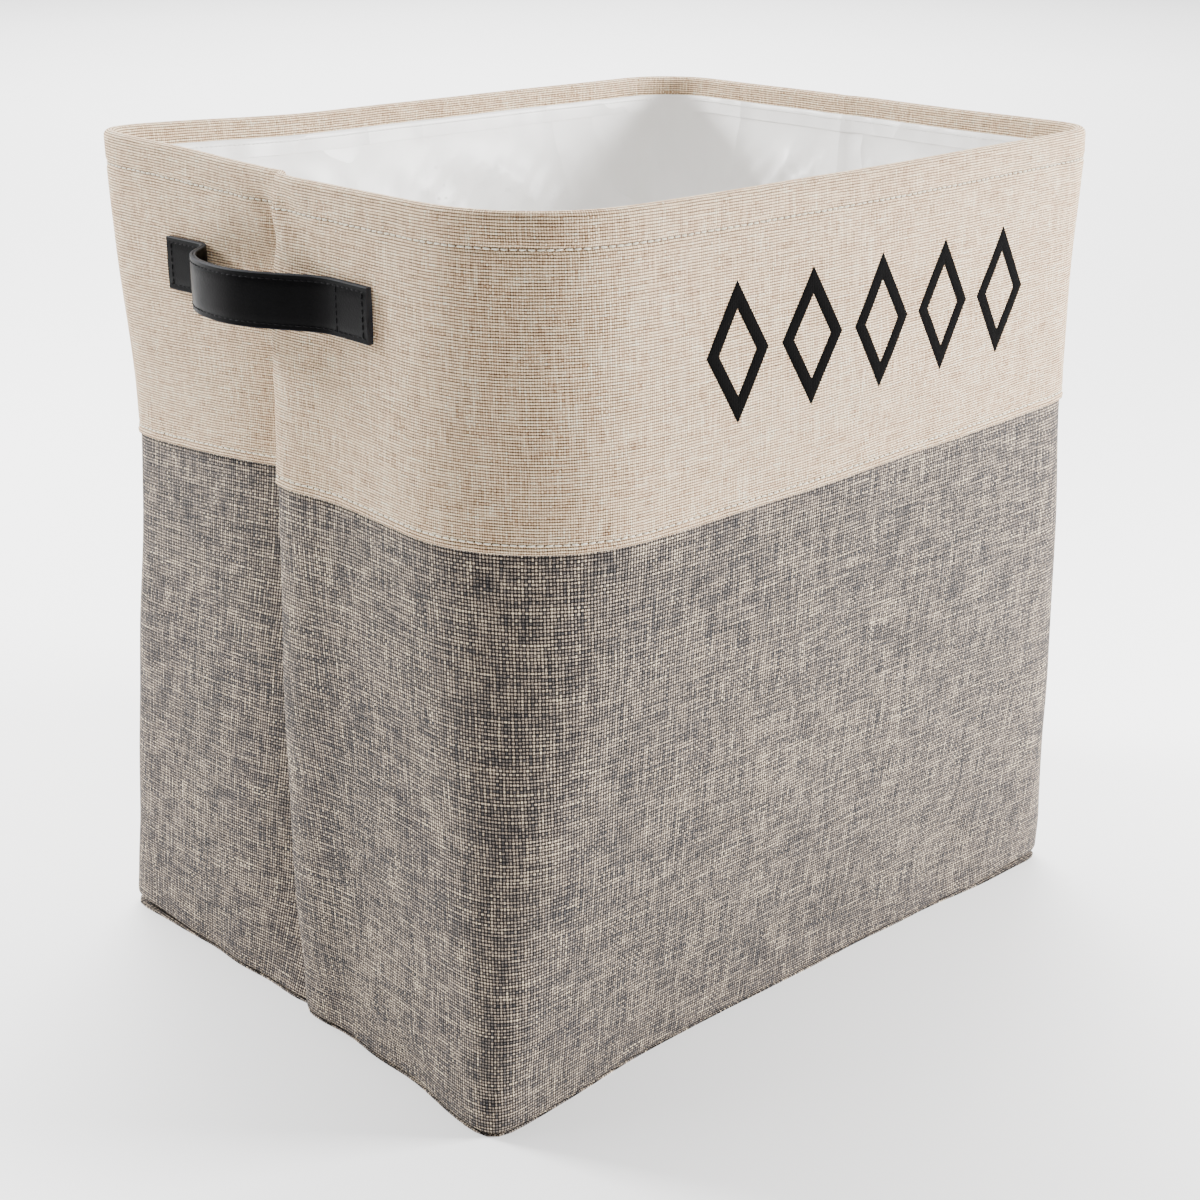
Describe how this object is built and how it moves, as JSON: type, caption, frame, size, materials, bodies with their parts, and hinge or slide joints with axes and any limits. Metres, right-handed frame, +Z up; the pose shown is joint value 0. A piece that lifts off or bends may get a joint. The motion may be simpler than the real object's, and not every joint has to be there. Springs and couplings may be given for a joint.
{
  "type": "fabric storage bin",
  "caption": "Tall rectangular open-topped fabric storage bin with an upper band, a lined inside and a sewn strap handle on each end; it folds flat.",
  "frame": {"origin": "on the floor, under the middle of the bin", "axes": "+Z up; +X along the long side, so a handle is at each end, -X and +X; the printed front faces -Y"},
  "size_m": [0.4348, 0.3008, 0.4],
  "materials": {
    "beige_linen": "fine slubbed plain weave, warm oatmeal",
    "grey_melange": "coarse grey melange weave of dark and cream yarns",
    "liner_film": "thin white coated lining, soft satin, wrinkled",
    "cream_thread": "twisted sewing thread",
    "chipboard": "plain grey-brown paperboard",
    "felt": "pressed nonwoven felt",
    "tape": "woven binding tape",
    "cord": "soft twisted filler cord",
    "black_leather": "smooth black faux leather, semi-gloss",
    "black_thread": "black sewing thread",
    "print_film": "matt black transfer film pressed into the weave"
  },
  "bodies": {
    "back": {"base_fabric": "grey_melange", "base_binding": "tape", "base_felt_front": "felt", "base_felt_rear": "felt", "liner_base": "liner_film", "lower_shell_rear": "grey_melange", "band_rear": "beige_linen", "liner_rear": "liner_film", "rim_cord_rear": "cord", "topstitch_rear": "cream_thread", "hem_stitch_rear": "cream_thread", "liner_stitch_rear": "cream_thread", "rear_board": "chipboard", "corner_felt_left_rear": "felt", "corner_felt_right_rear": "felt"},
    "front": {"lower_shell_front": "grey_melange", "band_front": "beige_linen", "liner_front": "liner_film", "rim_cord_front": "cord", "topstitch_front": "cream_thread", "hem_stitch_front": "cream_thread", "liner_stitch_front": "cream_thread", "front_board": "chipboard", "corner_felt_left_front": "felt", "corner_felt_right_front": "felt", "printed_motif": "print_film"},
    "left_rear": {"left_rear_board": "chipboard", "handle_patch_left_rear": "felt", "tab_stitch_left_rear": "black_thread", "seam_tape_left": "tape", "handle_left_face": "black_leather", "handle_left_backing": "black_leather"},
    "left_front": {"left_front_board": "chipboard", "handle_patch_left_front": "felt", "tab_stitch_left_front": "black_thread"},
    "right_rear": {"right_rear_board": "chipboard", "handle_patch_right_rear": "felt", "tab_stitch_right_rear": "black_thread", "seam_tape_right": "tape", "handle_right_face": "black_leather", "handle_right_backing": "black_leather"},
    "right_front": {"right_front_board": "chipboard", "handle_patch_right_front": "felt", "tab_stitch_right_front": "black_thread"}
  },
  "joints": [
    {"name": "fold", "type": "hinge", "parent": "back", "child": "left_rear", "pos_m": [-0.18845, 0.122, 0], "axis": [0, 0, 1], "range_deg": [0, 84], "deforming": ["lower_shell_front", "lower_shell_rear", "band_front", "band_rear", "liner_front", "liner_rear", "rim_cord_front", "rim_cord_rear", "topstitch_front", "topstitch_rear", "hem_stitch_front", "hem_stitch_rear", "liner_stitch_front", "liner_stitch_rear", "base_fabric", "base_binding", "base_felt_front", "base_felt_rear", "liner_base", "seam_tape_left", "seam_tape_right", "corner_felt_left_front", "corner_felt_left_rear", "corner_felt_right_front", "corner_felt_right_rear", "handle_left_face", "handle_left_backing", "handle_right_face", "handle_right_backing"]},
    {"name": "left_crease", "type": "hinge", "parent": "left_rear", "child": "left_front", "pos_m": [-0.192, 0, 0], "axis": [0, 0, 1], "range_deg": [-168, 0]},
    {"name": "front_left", "type": "hinge", "parent": "left_front", "child": "front", "pos_m": [-0.18845, -0.122, 0], "axis": [0, 0, 1], "range_deg": [0, 84]},
    {"name": "front_right", "type": "hinge", "parent": "front", "child": "right_front", "pos_m": [0.18845, -0.122, 0], "axis": [0, 0, 1], "range_deg": [0, 84]},
    {"name": "rear_right", "type": "hinge", "parent": "back", "child": "right_rear", "pos_m": [0.18845, 0.122, 0], "axis": [0, 0, 1], "range_deg": [-84, 0]}
  ],
  "couplings": [
    {"joint": "left_crease", "follows": "fold", "ratio": -2},
    {"joint": "front_left", "follows": "fold", "ratio": 1},
    {"joint": "front_right", "follows": "fold", "ratio": 1},
    {"joint": "rear_right", "follows": "fold", "ratio": -1}
  ]
}
